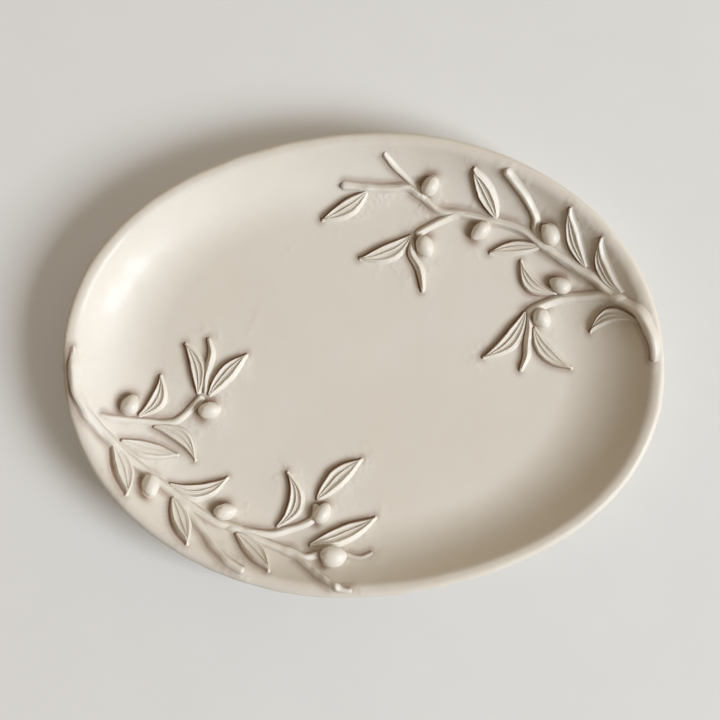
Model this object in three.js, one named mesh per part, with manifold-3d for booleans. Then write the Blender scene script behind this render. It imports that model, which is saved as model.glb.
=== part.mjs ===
// An oval serving tray of glazed ceramic. The dish is pressed over a mould and stands on a coil of clay,
// and two olive branches are laid on it as applied relief: rolled stems, cut leaves and moulded olives,
// each a piece of clay of its own, stuck down before firing.
// Millimetres, +Z up, +X along the dish, the origin under the middle of the foot.
import * as THREE from "three";
import { mergeVertices } from "three/addons/utils/BufferGeometryUtils.js";
import Module from "manifold-3d";

// The dish
const LENGTH = 400;
const WIDTH = 310;
const HEIGHT = 38;
const LIP = 7; // thickness of the wall at its rounded lip
const WALL_SLOPE = 54; // degrees from level, where the wall meets the lip
const FLOOR_LENGTH = 270;
const FLOOR_WIDTH = 210;
const FLOOR_THICKNESS = 8;
const BASE_MARGIN = 5; // how far the flat underside reaches past the floor's edge
const SQUARENESS = 2.15; // of the oval, where 2 is a plain ellipse
const SKEW = 0.01; // the hand-drawn oval is this much fuller on one diagonal and flatter on the other
const SKEW_BEARING = -12; // degrees round from +X, one of the four fullest places

// The foot, a coil pressed flat under the base
const FOOT_HEIGHT = 4;
const FOOT_BAND = 10;
const FOOT_INSET = 14; // from the edge of the flat underside

// The relief, where each stem, leaf and olive has a share of these middling sizes
const STEM_WIDTH = 5;
const STEM_ROUNDNESS = 0.56; // height of a rolled stem as a share of its width
const LEAF_LENGTH = 40;
const LEAF_WIDTH = 11;
const LEAF_RISE = 3.8; // height of a leaf's edges over the dish
const LEAF_HOLLOW = 0.55; // height of the two hollows of a leaf as a share of its edges
const LEAF_RIB = 0.85; // height of its middle rib, likewise
const LEAF_ENDS = 0.75; // height of its base and its tip, likewise
const LEAF_RIDGE = 1.2; // height of a folded leaf along its ridge, likewise
const LEAF_SKIRT = 0.5; // height of a folded leaf along its edges, likewise
const LEAF_STALK = 2.6; // width of a leaf at its base
const LEAF_POINT = 1; // width at its tip
const OLIVE_LENGTH = 15;
const OLIVE_WIDTH = 11;
const OLIVE_SHOWING = 0.74; // share of an olive's thickness that stands over the dish
const BEDDING = 1; // how deep each piece is pressed before its underside is trimmed to the dish
const SEAT_GAP = 0.3; // slip joint between the relief and the dish
const PIECE_GAP = 0.3; // slip joint between one piece of relief and the next

// Fineness of the curved surfaces
const DISH_SEGMENTS = 80;
const WALL_STEPS = 7;
const LIP_STEPS = 6;
const STEM_SIDES = 8;
const STEM_STEP = 7;
const LEAF_STEPS = 7;
const LEAF_ROWS = 4;
const OLIVE_SEGMENTS = 10;
const OLIVE_RINGS = 7;

// Places on the dish are pairs of shares, of its half length and its half width.
// A stem runs along its path, with its width at the start and at the end as shares of STEM_WIDTH.
const STEMS = [
  {
    name: "right_main_stem",
    widths: [1.64, 0.92],
    path: [
      [0.972, -0.045], [0.976, 0.02], [0.966, 0.082], [0.932, 0.181], [0.856, 0.262], [0.801, 0.338],
      [0.727, 0.404], [0.638, 0.492], [0.559, 0.574], [0.457, 0.622], [0.351, 0.659], [0.286, 0.672],
      [0.249, 0.704], [0.212, 0.755],
    ],
  },
  {
    name: "left_main_stem",
    widths: [1.12, 0.8],
    path: [
      [-0.976, 0.12], [-0.983, 0.042], [-0.976, -0.071], [-0.944, -0.161], [-0.901, -0.233],
      [-0.862, -0.291], [-0.809, -0.367], [-0.726, -0.459], [-0.627, -0.564], [-0.527, -0.656],
      [-0.454, -0.692], [-0.367, -0.749], [-0.261, -0.813], [-0.221, -0.855], [-0.161, -0.921],
      [-0.103, -0.968], [-0.063, -0.974],
    ],
  },
  {
    name: "right_twig_high",
    widths: [0.88, 0.68],
    path: [[0.219, 0.746], [0.188, 0.8], [0.134, 0.864], [0.092, 0.925]],
  },
  {
    name: "right_twig_left",
    widths: [0.8, 0.96],
    path: [[0.205, 0.759], [0.169, 0.784], [0.114, 0.781], [0.058, 0.784], [-0.059, 0.8]],
  },
  {
    name: "right_twig_low",
    widths: [0.96, 0.76],
    path: [[0.341, 0.664], [0.285, 0.631], [0.239, 0.602], [0.193, 0.572]],
  },
  {
    name: "right_twig_bud",
    widths: [0.68, 1.08],
    path: [[0.625, 0.506], [0.606, 0.568], [0.61, 0.623], [0.586, 0.692], [0.545, 0.76], [0.501, 0.826]],
  },
  {
    name: "right_twig_inner",
    widths: [1.4, 0.92],
    path: [[0.859, 0.257], [0.821, 0.266], [0.765, 0.268], [0.705, 0.266], [0.659, 0.257], [0.575, 0.21]],
  },
  {
    name: "left_twig_upper",
    widths: [0.52, 0.84],
    path: [
      [-0.893, -0.18], [-0.849, -0.196], [-0.761, -0.213], [-0.681, -0.223], [-0.629, -0.207],
      [-0.549, -0.109],
    ],
  },
  {
    name: "left_twig_inner",
    widths: [0.92, 0.72],
    path: [
      [-0.45, -0.698], [-0.4, -0.714], [-0.334, -0.725], [-0.277, -0.712], [-0.193, -0.671],
      [-0.177, -0.601],
    ],
  },
  {
    name: "left_twig_long",
    widths: [0.76, 0.96],
    path: [[-0.62, -0.595], [-0.575, -0.671], [-0.493, -0.812], [-0.451, -0.856], [-0.417, -0.88]],
  },
  {
    name: "left_twig_link",
    widths: [0.72, 0.68],
    path: [[-0.276, -0.793], [-0.253, -0.807], [-0.217, -0.83], [-0.172, -0.819]],
  },
  {
    name: "left_twig_end",
    widths: [0.56, 0.44],
    path: [[-0.107, -0.801], [-0.071, -0.83], [-0.03, -0.838], [0.011, -0.819]],
  },
];

// An olive lies from its stalk end at root, turned this many degrees round from +X, and it is as long and
// wide as these shares of OLIVE_LENGTH and OLIVE_WIDTH.
const OLIVES = [
  { name: "right_olive_top", root: [0.23, 0.751], turn: 54, long: 0.91, wide: 1.05 },
  { name: "right_olive_low", root: [0.208, 0.561], turn: -64, long: 1, wide: 1.09 },
  { name: "right_olive_stem", root: [0.448, 0.615], turn: -139, long: 1.07, wide: 0.96 },
  { name: "right_olive_bud", root: [0.674, 0.502], turn: 119, long: 1.07, wide: 0.98 },
  { name: "right_olive_arch", root: [0.716, 0.299], turn: 151, long: 1.01, wide: 1 },
  { name: "right_olive_fan", root: [0.598, 0.22], turn: -62, long: 0.93, wide: 1.05 },
  { name: "left_olive_shore", root: [-0.818, -0.184], turn: 59, long: 0.97, wide: 1.13 },
  { name: "left_olive_fan", root: [-0.567, -0.18], turn: 5, long: 1.03, wide: 1.02 },
  { name: "left_olive_wall", root: [-0.741, -0.454], turn: -79, long: 1.03, wide: 1 },
  { name: "left_olive_floor", root: [-0.525, -0.631], turn: 8, long: 1.04, wide: 0.98 },
  { name: "left_olive_high", root: [-0.18, -0.682], turn: 53, long: 1, wide: 0.96 },
  { name: "left_olive_end", root: [-0.169, -0.831], turn: -6, long: 1.2, wide: 1.13 },
];

// A leaf runs from its base at root, and its middle bows to the left by this share of its own length.
// Its length and its width are shares of LEAF_LENGTH and LEAF_WIDTH.
// A folded leaf stands on edge, with one ridge along its middle.
const LEAVES = [
  { name: "right_leaf_far", root: [0.035, 0.776], turn: -149, long: 0.95, wide: 1.05, bow: 0.06 },
  { name: "right_leaf_low", root: [0.182, 0.569], turn: -158, long: 1, wide: 1.09, bow: 0.1 },
  {
    name: "right_leaf_curl", root: [0.179, 0.559], turn: -80, long: 0.97, wide: 0.53, bow: 0.03,
    folded: true,
  },
  { name: "right_leaf_crown", root: [0.475, 0.627], turn: 115, long: 0.93, wide: 1, bow: -0.02 },
  { name: "right_leaf_flat", root: [0.625, 0.5], turn: -175, long: 0.91, wide: 0.84, bow: -0.05 },
  { name: "right_leaf_wall", root: [0.769, 0.393], turn: 106, long: 1.02, wide: 0.78, bow: 0.06 },
  { name: "right_leaf_rim", root: [0.881, 0.267], turn: 110, long: 1, wide: 0.75, bow: 0.12 },
  { name: "right_leaf_arched", root: [0.669, 0.284], turn: 134, long: 0.86, wide: 0.87, bow: 0.22 },
  { name: "right_leaf_under", root: [0.928, 0.147], turn: -170, long: 0.78, wide: 0.93, bow: -0.25 },
  { name: "right_leaf_fan_left", root: [0.562, 0.213], turn: -135, long: 1.1, wide: 1, bow: 0.12 },
  {
    name: "right_leaf_fan_middle", root: [0.57, 0.204], turn: -100, long: 1.01, wide: 0.49, bow: 0.04,
    folded: true,
  },
  { name: "right_leaf_fan_right", root: [0.585, 0.14], turn: -49, long: 0.96, wide: 0.91, bow: -0.14 },
  { name: "left_leaf_shore", root: [-0.769, -0.192], turn: 61, long: 0.8, wide: 0.96, bow: -0.18 },
  { name: "left_leaf_fan_left", root: [-0.566, -0.104], turn: 103, long: 0.91, wide: 0.91, bow: -0.11 },
  {
    name: "left_leaf_fan_middle", root: [-0.543, -0.101], turn: 85, long: 0.96, wide: 0.49, bow: -0.04,
    folded: true,
  },
  { name: "left_leaf_fan_right", root: [-0.532, -0.11], turn: 45, long: 0.97, wide: 0.96, bow: 0.04 },
  { name: "left_leaf_hook", root: [-0.721, -0.236], turn: -41, long: 0.94, wide: 0.96, bow: 0.17 },
  { name: "left_leaf_inner", root: [-0.829, -0.298], turn: -16, long: 0.99, wide: 1, bow: -0.04 },
  { name: "left_leaf_wall", root: [-0.855, -0.313], turn: -73, long: 0.91, wide: 1.04, bow: 0.05 },
  { name: "left_leaf_floor", root: [-0.672, -0.497], turn: 5, long: 1.01, wide: 1, bow: -0.18 },
  { name: "left_leaf_hang", root: [-0.66, -0.551], turn: -71, long: 0.85, wide: 1.05, bow: 0 },
  { name: "left_leaf_drop", root: [-0.45, -0.717], turn: -49, long: 0.86, wide: 1.04, bow: 0.04 },
  { name: "left_leaf_arched", root: [-0.311, -0.7], turn: 78, long: 0.97, wide: 0.95, bow: -0.24 },
  { name: "left_leaf_high", root: [-0.175, -0.584], turn: 40, long: 1.04, wide: 1.09, bow: 0.05 },
  { name: "left_leaf_long", root: [-0.204, -0.783], turn: 21, long: 1.23, wide: 1.07, bow: -0.04 },
];

const DEGREE = Math.PI / 180;
const HALF_LENGTH = LENGTH / 2;
const HALF_WIDTH = WIDTH / 2;
const FLOOR_TOP = FOOT_HEIGHT + FLOOR_THICKNESS;
const BASE_HALF_LENGTH = FLOOR_LENGTH / 2 + BASE_MARGIN;

const wasm = await Module();
wasm.setup();

// The dish in section: across is a ring's half length, up is its height.
// The lip is a half round whose two ends run on into the wall's inner and outer faces.
const slope = WALL_SLOPE * DEGREE;
const lipRadius = LIP / 2;
const lipCentre = new THREE.Vector2(HALF_LENGTH - lipRadius, HEIGHT - lipRadius);
const towardsInside = new THREE.Vector2(-Math.sin(slope), Math.cos(slope));
const innerTop = lipCentre.clone().addScaledVector(towardsInside, lipRadius);
const outerTop = lipCentre.clone().addScaledVector(towardsInside, -lipRadius);
const innerFace = wallFace(innerTop, FLOOR_LENGTH / 2, FLOOR_TOP);
const outerFace = wallFace(outerTop, BASE_HALF_LENGTH, FOOT_HEIGHT);

// A face of the wall leaves the lip at the wall's slope and comes in level at the edge of a flat.
function wallFace(top, edge, level) {
  const turn = new THREE.Vector2(top.x - (top.y - level) / Math.tan(slope), level);
  return new THREE.QuadraticBezierCurve(top, turn, new THREE.Vector2(edge, level));
}

// The half width of the ring that has this half length: the lip keeps its thickness all the way round,
// and the wall runs out to the floor, which has an oval of its own.
function ringHalfWidth(halfLength) {
  const floorEdge = FLOOR_LENGTH / 2;
  const lipEdge = HALF_LENGTH - LIP;
  if (halfLength <= floorEdge) return (halfLength * FLOOR_WIDTH) / FLOOR_LENGTH;
  if (halfLength >= lipEdge) return HALF_WIDTH - HALF_LENGTH + halfLength;
  return THREE.MathUtils.mapLinear(halfLength, floorEdge, lipEdge, FLOOR_WIDTH / 2, HALF_WIDTH - LIP);
}

// How far a ring reaches from the middle at a bearing.
function ringReach(bearing, halfLength) {
  if (halfLength === 0) return 0;
  const along = Math.abs(Math.cos(bearing) / halfLength) ** SQUARENESS;
  const across = Math.abs(Math.sin(bearing) / ringHalfWidth(halfLength)) ** SQUARENESS;
  const diagonals = 4;
  const fullness = 1 + SKEW * Math.cos(diagonals * (bearing - SKEW_BEARING * DEGREE));
  return fullness * (along + across) ** (-1 / SQUARENESS);
}

// Halves a range until it closes on the place where isPast turns true.
function search(low, high, isPast) {
  const halvings = 40;
  for (let i = 0; i < halvings; i++) {
    const middle = (low + high) / 2;
    if (isPast(middle)) high = middle;
    else low = middle;
  }
  return (low + high) / 2;
}

// The height of the dish's upper face at a place seen from above.
function dishHeight(x, y) {
  const bearing = Math.atan2(y, x);
  const reach = Math.hypot(x, y);
  const ring = search(0, HALF_LENGTH, (halfLength) => ringReach(bearing, halfLength) > reach);
  if (ring <= FLOOR_LENGTH / 2) return FLOOR_TOP;
  if (ring < innerTop.x) {
    const share = search(0, 1, (t) => innerFace.getPoint(t).x < ring);
    return innerFace.getPoint(share).y;
  }
  return lipCentre.y + Math.sqrt(Math.max(0, lipRadius ** 2 - (ring - lipCentre.x) ** 2));
}

// The direction straight off the dish's upper face.
function dishNormal(x, y) {
  const step = lipRadius / 4;
  const alongX = dishHeight(x - step, y) - dishHeight(x + step, y);
  const alongY = dishHeight(x, y - step) - dishHeight(x, y + step);
  return new THREE.Vector3(alongX, alongY, 2 * step).normalize();
}

// Moves each vertex of a geometry to the place that a function gives for it.
function reshape(geometry, placeOf) {
  const at = geometry.attributes.position;
  const vertex = new THREE.Vector3();
  for (let i = 0; i < at.count; i++) {
    vertex.fromBufferAttribute(at, i);
    at.setXYZ(i, ...placeOf(vertex).toArray());
  }
  return geometry;
}

// Lays a geometry on the dish: layOut gives each vertex a place seen from above and a lift off the dish.
function drape(geometry, layOut) {
  return reshape(geometry, (vertex) => {
    const laid = layOut(vertex);
    const { x, y, z: lift } = laid;
    laid.setZ(dishHeight(x, y));
    return laid.addScaledVector(dishNormal(x, y), lift);
  });
}

function solidOf(geometry) {
  const bare = geometry.clone();
  bare.deleteAttribute("normal");
  bare.deleteAttribute("uv");
  const merged = mergeVertices(bare);
  const vertProperties = merged.attributes.position.array;
  const triVerts = new Uint32Array(merged.index.array);
  return new wasm.Manifold(new wasm.Mesh({ numProp: 3, vertProperties, triVerts }));
}

function geometryOf(solid) {
  const mesh = solid.getMesh();
  const geometry = new THREE.BufferGeometry();
  geometry.setAttribute("position", new THREE.BufferAttribute(mesh.vertProperties, mesh.numProp));
  geometry.setIndex(new THREE.BufferAttribute(mesh.triVerts, 1));
  geometry.computeVertexNormals();
  return geometry;
}

// A lathe turns a section of half lengths and heights, and its rings are then drawn out to ovals.
function ovalLathe(section) {
  const round = new THREE.LatheGeometry(section, DISH_SEGMENTS).rotateX(Math.PI / 2);
  return reshape(round, (vertex) => {
    const bearing = Math.atan2(vertex.y, vertex.x);
    const reach = ringReach(bearing, Math.hypot(vertex.x, vertex.y));
    return vertex.set(reach * Math.cos(bearing), reach * Math.sin(bearing), vertex.z);
  });
}

function platterBody() {
  const lip = new THREE.EllipseCurve(
    lipCentre.x, lipCentre.y, lipRadius, lipRadius, slope - Math.PI / 2, slope + Math.PI / 2,
  );
  return ovalLathe([
    new THREE.Vector2(0, FOOT_HEIGHT),
    ...outerFace.getPoints(WALL_STEPS).reverse(),
    ...lip.getPoints(LIP_STEPS).slice(1, -1),
    ...innerFace.getPoints(WALL_STEPS),
    new THREE.Vector2(0, FLOOR_TOP),
  ]);
}

function footRing() {
  const outer = BASE_HALF_LENGTH - FOOT_INSET;
  const inner = outer - FOOT_BAND;
  return ovalLathe([
    new THREE.Vector2(inner, 0),
    new THREE.Vector2(outer, 0),
    new THREE.Vector2(outer, FOOT_HEIGHT),
    new THREE.Vector2(inner, FOOT_HEIGHT),
    new THREE.Vector2(inner, 0),
  ]);
}

// A place on the dish from its two shares.
function placeOn([alongShare, acrossShare]) {
  return new THREE.Vector3(alongShare * HALF_LENGTH, acrossShare * HALF_WIDTH, 0);
}

// Each maker of relief takes a growth, which is 0 for the piece itself and a gap for the room it needs.
function stem({ path, widths }, growth) {
  const curve = new THREE.CatmullRomCurve3(path.map(placeOn));
  const steps = Math.ceil(curve.getLength() / STEM_STEP);
  return drape(new THREE.CylinderGeometry(1, 1, 1, STEM_SIDES, steps), ({ x, y, z }) => {
    const share = THREE.MathUtils.clamp(0.5 - y, 0, 1);
    const width = STEM_WIDTH * THREE.MathUtils.lerp(...widths, share);
    const ahead = curve.getTangentAt(share);
    const aside = new THREE.Vector3(ahead.y, -ahead.x, 0);
    const place = curve.getPointAt(share);
    place.addScaledVector(ahead, (2 * share - 1) * growth);
    place.addScaledVector(aside, x * (width / 2 + growth));
    return place.setZ(z < 0 ? -z * (STEM_ROUNDNESS * width + growth) : -z * BEDDING);
  });
}

function olive({ root, turn, long, wide }, growth) {
  const length = long * OLIVE_LENGTH;
  const width = wide * OLIVE_WIDTH;
  const ahead = new THREE.Vector3(Math.cos(turn * DEGREE), Math.sin(turn * DEGREE), 0);
  const aside = new THREE.Vector3(-ahead.y, ahead.x, 0);
  const middle = placeOn(root).addScaledVector(ahead, length / 2);
  const middleLift = (OLIVE_SHOWING - 0.5) * width;
  const ball = new THREE.SphereGeometry(1, OLIVE_SEGMENTS, OLIVE_RINGS).rotateX(Math.PI / 2);
  return drape(ball, ({ x, y, z }) => {
    const place = middle.clone();
    place.addScaledVector(ahead, x * (length / 2 + growth));
    place.addScaledVector(aside, y * (width / 2 + growth));
    return place.setZ(Math.max(middleLift + z * (width / 2 + growth), -BEDDING));
  });
}

// The height of a leaf's upper face across its width, from -1 at one edge to 1 at the other, as a share
// of the height of its edges. The two hollows lie midway between the rib and the edges.
function leafSection(aside, folded) {
  if (folded) return THREE.MathUtils.lerp(LEAF_RIDGE, LEAF_SKIRT, Math.abs(aside));
  const fromHollow = Math.abs(2 * Math.abs(aside) - 1);
  return THREE.MathUtils.lerp(LEAF_HOLLOW, Math.abs(aside) > 0.5 ? 1 : LEAF_RIB, fromHollow);
}

function leaf({ root, turn, long, wide, bow, folded }, growth) {
  const length = long * LEAF_LENGTH;
  const width = wide * LEAF_WIDTH;
  const ahead = new THREE.Vector3(Math.cos(turn * DEGREE), Math.sin(turn * DEGREE), 0);
  const aside = new THREE.Vector3(-ahead.y, ahead.x, 0);
  return drape(new THREE.BoxGeometry(1, 1, 1, LEAF_STEPS, LEAF_ROWS, 1), ({ x, y, z }) => {
    const share = x + 0.5;
    const swell = Math.sin(Math.PI * share);
    const fullWidth = THREE.MathUtils.lerp(LEAF_STALK, LEAF_POINT, share) + swell * (width - LEAF_STALK);
    const place = placeOn(root);
    place.addScaledVector(ahead, share * length + 2 * x * growth);
    place.addScaledVector(aside, bow * length * 4 * share * (1 - share) + y * (fullWidth + 2 * growth));
    const rise = LEAF_RISE * THREE.MathUtils.lerp(LEAF_ENDS, leafSection(2 * y, folded), swell);
    return place.setZ(z > 0 ? rise + growth : -BEDDING);
  });
}

// Fits a raw piece among those already laid: its underside is trimmed to the dish and its sides to the
// room that they need, and the largest body that is left is the piece.
function fitted(raw, room) {
  let solid = solidOf(raw).subtract(raisedDish);
  for (const taken of room) solid = solid.subtract(taken);
  return solid.decompose().reduce((largest, body) => (body.volume() > largest.volume() ? body : largest));
}

const glaze = { color: 0xe8dfd0, roughness: 0.22, metalness: 0 };
const bareClay = { color: 0xd8c7ac, roughness: 0.9, metalness: 0 };

function piece(name, geometry, finish) {
  const mesh = new THREE.Mesh(geometry, new THREE.MeshStandardMaterial(finish));
  mesh.name = name;
  return mesh;
}

const tray = new THREE.Group();
const dish = platterBody();
const raisedDish = solidOf(dish).translate([0, 0, SEAT_GAP]);
tray.add(piece("platter_body", dish, glaze));
tray.add(piece("foot_ring", footRing(), bareClay));

// Stems go down first, then the olives, and the leaves are tucked in against both.
const branches = { right: new THREE.Group(), left: new THREE.Group() };
const room = [];
for (const [make, list] of [[stem, STEMS], [olive, OLIVES], [leaf, LEAVES]]) {
  for (const drawn of list) {
    const [side] = drawn.name.split("_");
    branches[side].add(piece(drawn.name, geometryOf(fitted(make(drawn, 0), room)), glaze));
    room.push(solidOf(make(drawn, PIECE_GAP)));
  }
}
tray.add(branches.right, branches.left);

export default tray;
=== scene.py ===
# %% [markdown]
# # An oval serving tray with olive branches
# The real tray is hand-built ceramic. Its dish is pressed over a mould, a coil of clay makes its
# foot, and two olive branches are laid on it as applied relief: rolled stems, cut leaves and
# moulded olives, each a piece of clay of its own. Then it is all covered in one cream glaze, which
# runs thin on the lip and gathers, warmer and darker, in the seams beside the relief. The brown on
# the steep side of each seam is also painted shade, and a few white dots are painted glints.
#
# The imported solids already fix where everything is. This lesson gives each of them a fine surface
# and a finish.

# %% Load the fixed frame
import math

import bmesh
import bpy
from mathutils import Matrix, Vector, noise
from mathutils.bvhtree import BVHTree
from mathutils.geometry import interpolate_bezier, intersect_point_line


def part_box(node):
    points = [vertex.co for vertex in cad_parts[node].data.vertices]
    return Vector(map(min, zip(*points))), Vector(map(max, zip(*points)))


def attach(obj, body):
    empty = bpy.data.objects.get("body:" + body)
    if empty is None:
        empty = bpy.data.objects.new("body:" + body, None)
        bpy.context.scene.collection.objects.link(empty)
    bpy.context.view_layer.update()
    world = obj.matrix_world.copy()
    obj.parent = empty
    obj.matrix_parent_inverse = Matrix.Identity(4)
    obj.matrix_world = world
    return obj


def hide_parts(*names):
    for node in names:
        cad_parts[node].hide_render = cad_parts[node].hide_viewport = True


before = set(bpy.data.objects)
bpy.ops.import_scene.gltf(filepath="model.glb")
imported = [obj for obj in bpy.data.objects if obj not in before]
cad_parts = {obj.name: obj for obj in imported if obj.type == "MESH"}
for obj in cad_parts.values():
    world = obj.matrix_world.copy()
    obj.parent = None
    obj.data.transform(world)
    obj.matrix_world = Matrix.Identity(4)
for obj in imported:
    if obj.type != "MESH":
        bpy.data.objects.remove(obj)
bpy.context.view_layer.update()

MM = 0.001


# %% [markdown]
# ## The camera
# The photograph looks down on the tray from almost straight above, a little from the near side,
# with a long lens. The rim's outline fixes how far round the tray is turned and where it stands in
# the picture, so the camera is aimed at a point a few millimetres beside the middle of the dish,
# and no lens shift is needed.

# %% Camera
CAMERA_ELEVATION = math.radians(85)
CAMERA_TURN = math.radians(-1.96)
CAMERA_DISTANCE = 1.144
CAMERA_LENS = 85
AIM_RIGHT = -2.3 * MM
AIM_AWAY = 2.0 * MM
AIM_HEIGHT = 30 * MM

screen_right = Vector((math.cos(CAMERA_TURN), math.sin(CAMERA_TURN), 0))
screen_away = Vector((-screen_right.y, screen_right.x, 0))
up = Vector((0, 0, 1))
aim = AIM_RIGHT * screen_right + AIM_AWAY * screen_away + AIM_HEIGHT * up
towards_camera = math.sin(CAMERA_ELEVATION) * up - math.cos(CAMERA_ELEVATION) * screen_away

camera_data = bpy.data.cameras.new("photo_camera")
camera_data.lens = CAMERA_LENS
camera = bpy.data.objects.new("photo_camera", camera_data)
camera.location = aim + CAMERA_DISTANCE * towards_camera
camera.rotation_euler = towards_camera.to_track_quat("Z", "Y").to_euler()
bpy.context.collection.objects.link(camera)
bpy.context.scene.camera = camera
bpy.context.scene.view_settings.view_transform = "Standard"
print("camera at", tuple(round(v, 3) for v in camera.location))

# %% [markdown]
# ## Small helpers for nodes
# The room's light and every material are made of nodes. A helper that adds a node, sets its plain
# values and joins its inputs keeps the cells below short. Textures read Object coordinates, which
# stay put on the piece.

# %% Node helpers
def add_node(tree, kind, inputs=None, **settings):
    """Adds a node. Each input is a plain value, or another node's output socket to link."""
    node = tree.nodes.new(kind)
    for name, value in settings.items():
        setattr(node, name, value)
    for name, value in (inputs or {}).items():
        if isinstance(value, bpy.types.NodeSocket):
            tree.links.new(value, node.inputs[name])
        else:
            node.inputs[name].default_value = value
    return node


def add_maths(tree, operation, first, second):
    return add_node(tree, "ShaderNodeMath", {0: first, 1: second}, operation=operation).outputs[0]


def add_range(tree, value, low, high, to_low=0.0, to_high=1.0):
    """Maps a value from one range to another, smoothly and clamped."""
    inputs = {"Value": value, "From Min": low, "From Max": high, "To Min": to_low, "To Max": to_high}
    return add_node(tree, "ShaderNodeMapRange", inputs, interpolation_type="SMOOTHSTEP").outputs[0]


def add_mix(tree, factor, first, second):
    """Mixes two colours."""
    node = add_node(tree, "ShaderNodeMix", data_type="RGBA")
    for socket, value in ((node.inputs[0], factor), (node.inputs[6], first), (node.inputs[7], second)):
        if isinstance(value, bpy.types.NodeSocket):
            tree.links.new(value, socket)
        else:
            socket.default_value = value
    return node.outputs[2]


def new_group(name, inputs, outputs):
    """An empty shader node group with named sockets."""
    group = bpy.data.node_groups.new(name, "ShaderNodeTree")
    for label, kind in inputs.items():
        group.interface.new_socket(name=label, in_out="INPUT", socket_type=kind)
    for label, kind in outputs.items():
        group.interface.new_socket(name=label, in_out="OUTPUT", socket_type=kind)
    return group, group.nodes.new("NodeGroupInput").outputs, group.nodes.new("NodeGroupOutput").inputs


def new_material(name, shader_values):
    material = bpy.data.materials.new(name)
    material.use_nodes = True
    shader = material.node_tree.nodes["Principled BSDF"]
    for label, value in shader_values.items():
        shader.inputs[label].default_value = value
    return material, material.node_tree, shader


print("node helpers ready")

# %% [markdown]
# ## The light
# One broad soft window lights the tray from the right and a little from the near side. It stands so
# low that the rim shades the right-hand cove, while the left-hand one faces it. Its size sets how
# soft the shadows beside the leaves are, and it is far enough away to light the table almost
# evenly. The world adds the weaker and warmer light of a room, brighter on the far side than on the
# near one. Rays from the camera see a paler world than the tray does, so the background stays
# light.

# %% Window and room
WINDOW_BEARING = math.radians(-28)
WINDOW_ELEVATION = math.radians(35.5)
WINDOW_DISTANCE = 8.0
WINDOW_SIZE = 3.5
WINDOW_POWER = 662
WINDOW_COLOUR = (0.945, 1.022, 1.14)
ROOM_BRIGHT = (0.52, 0.445, 0.36, 1)
ROOM_DARK = (0.12, 0.08, 0.04, 1)
ROOM_WAY = (0.4, 0.92, 0)
ROOM_SEEN = (0.97, 0.97, 0.96, 1)

towards_window = Vector((
    math.cos(WINDOW_ELEVATION) * math.cos(WINDOW_BEARING),
    math.cos(WINDOW_ELEVATION) * math.sin(WINDOW_BEARING),
    math.sin(WINDOW_ELEVATION),
))
window_data = bpy.data.lights.new("window", "AREA")
window_data.shape = "SQUARE"
window_data.size = WINDOW_SIZE
window_data.energy = WINDOW_POWER
window_data.color = WINDOW_COLOUR
window = bpy.data.objects.new("window", window_data)
window.location = WINDOW_DISTANCE * towards_window
window.rotation_euler = towards_window.to_track_quat("Z", "Y").to_euler()
bpy.context.collection.objects.link(window)

room = bpy.data.worlds.new("room")
room.use_nodes = True
bpy.context.scene.world = room
camera_ray = add_node(room.node_tree, "ShaderNodeLightPath").outputs["Is Camera Ray"]
room_way = add_node(room.node_tree, "ShaderNodeTexCoord").outputs["Generated"]
room_side = add_node(
    room.node_tree, "ShaderNodeVectorMath", {0: room_way, 1: ROOM_WAY}, operation="DOT_PRODUCT"
).outputs["Value"]
room_light = add_mix(room.node_tree, add_range(room.node_tree, room_side, -1, 1), ROOM_DARK, ROOM_BRIGHT)
room_colour = add_mix(room.node_tree, camera_ray, room_light, ROOM_SEEN)
room.node_tree.links.new(room_colour, room.node_tree.nodes["Background"].inputs["Color"])
print("window", WINDOW_POWER, "W, room", ROOM_DARK[0], "to", ROOM_BRIGHT[0])

# %% [markdown]
# ## The glaze
# A cream glaze is never one colour. It is a little thicker or thinner from place to place, it
# gathers warm and brown in seams and grooves, it breaks to a thinner beige on sharp edges, and it
# holds pinholes and a few specks. Beside the relief's steep sides the brown is also painted shade,
# and a few white dots, most of them on the lip, are painted glints. The dish and the relief share
# all of that, so it is one node group with its own masks: the pool mask says where glaze gathers
# and where shade is painted brown, Thin where it runs off, and Smear where fingers worked slip
# round the relief and left it uneven. The masks are attributes that the pieces carry, painted when
# their shapes are made.

# %% Glaze values
CREAM = (0.76, 0.71, 0.615, 1)
CREAM_WARM = (0.73, 0.67, 0.563, 1)
# The brown of gathered glaze, which also paints the shade beside the relief's steep sides.
POOLED_AND_SHADED = (0.2, 0.088, 0.036, 1)
BROKEN = (0.60, 0.50, 0.375, 1)
SPECK = (0.20, 0.14, 0.09, 1)
# White of painted glints: dots that stand in for small sparkles of light on the glaze.
GLINT = (0.93, 0.925, 0.905, 1)
SATIN = (0.42, 0.52)
# How many waves a metre each kind of unevenness has.
DRIFT_WAVES = 9
CLOUD_WAVES = 60
PATCH_WAVES = 140
RIPPLE_WAVES = 38
WORKED_WAVES = 45
BRISTLE_WAVES = 300
# How much each of them changes the colour or the height.
DRIFT_TINT = 0.55
CLOUD_TINT = 0.35
THIN_TINT = 0.2
RIPPLE_HEIGHT = 0.5
WORKED_HEIGHT = 1.9
PINHOLE_DEPTH = 0.12
# Dots: cells a metre, the channel that picks among them, the lowest pick, and two radii of the edge.
SPECKS = (26.0, 0, 0.93, 0.010, 0.022)
# The next dots are painted glints, more of them on the lip.
GLINT_DOTS = (115.0, 2, 0.985, 0.04, 0.09)
PINHOLES = (150.0, 1, 0.93, 0.03, 0.09)
GLINT_STRENGTH = 0.8
LIP_GLINTS = 0.12
print("cream from", CREAM[:3], "to", CREAM_WARM[:3])

# %% Glaze group and its patterns
GLAZE_MASKS = ("Pool_and_shade", "Thin", "Smear")

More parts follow.
